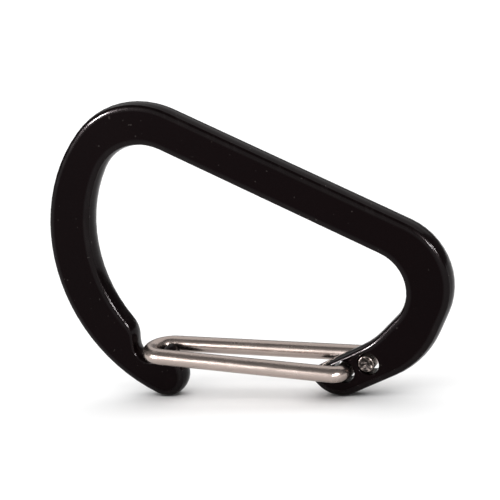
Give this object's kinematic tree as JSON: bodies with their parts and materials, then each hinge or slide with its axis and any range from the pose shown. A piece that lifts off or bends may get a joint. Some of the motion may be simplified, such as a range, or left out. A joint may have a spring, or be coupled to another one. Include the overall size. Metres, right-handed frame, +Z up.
{
  "type": "wire-gate carabiner",
  "caption": "Small flat black carabiner for keys, with a sprung steel wire gate that opens inwards.",
  "frame": {"origin": "bottom centre of the body, midway through its thickness", "axes": "+X along the body from the nose and basket to the hinge end, +Y from the front face to the back face, +Z up, with the nose and the hinge end at the bottom"},
  "size_m": [0.062, 0.008, 0.0448],
  "materials": {
    "anodised_body": "gloss black anodised, with a polished chamfer along the edges",
    "gate_wire": "drawn stainless wire, satin"
  },
  "bodies": {
    "body": {"carabiner_body": "anodised_body"},
    "gate_near": {"gate_wire_near_leg": "gate_wire"},
    "gate_far": {"gate_wire_far_leg": "gate_wire"}
  },
  "joints": [
    {"name": "gate_hinge", "type": "hinge", "parent": "body", "child": "gate_near", "pos_m": [0.0136, 0, 0.00452], "axis": [0, 1, 0], "range_deg": [0, 25], "stiffness_Nm_per_rad": 0.05, "springref_deg": -34.38},
    {"name": "gate_twist", "type": "hinge", "parent": "gate_near", "child": "gate_far", "pos_m": [-0.01745, 0, 0.0072], "axis": [0, 1, 0], "range_deg": [-4, 0.5]}
  ],
  "couplings": [
    {"joint": "gate_twist", "follows": "gate_hinge", "ratio": -0.1}
  ]
}
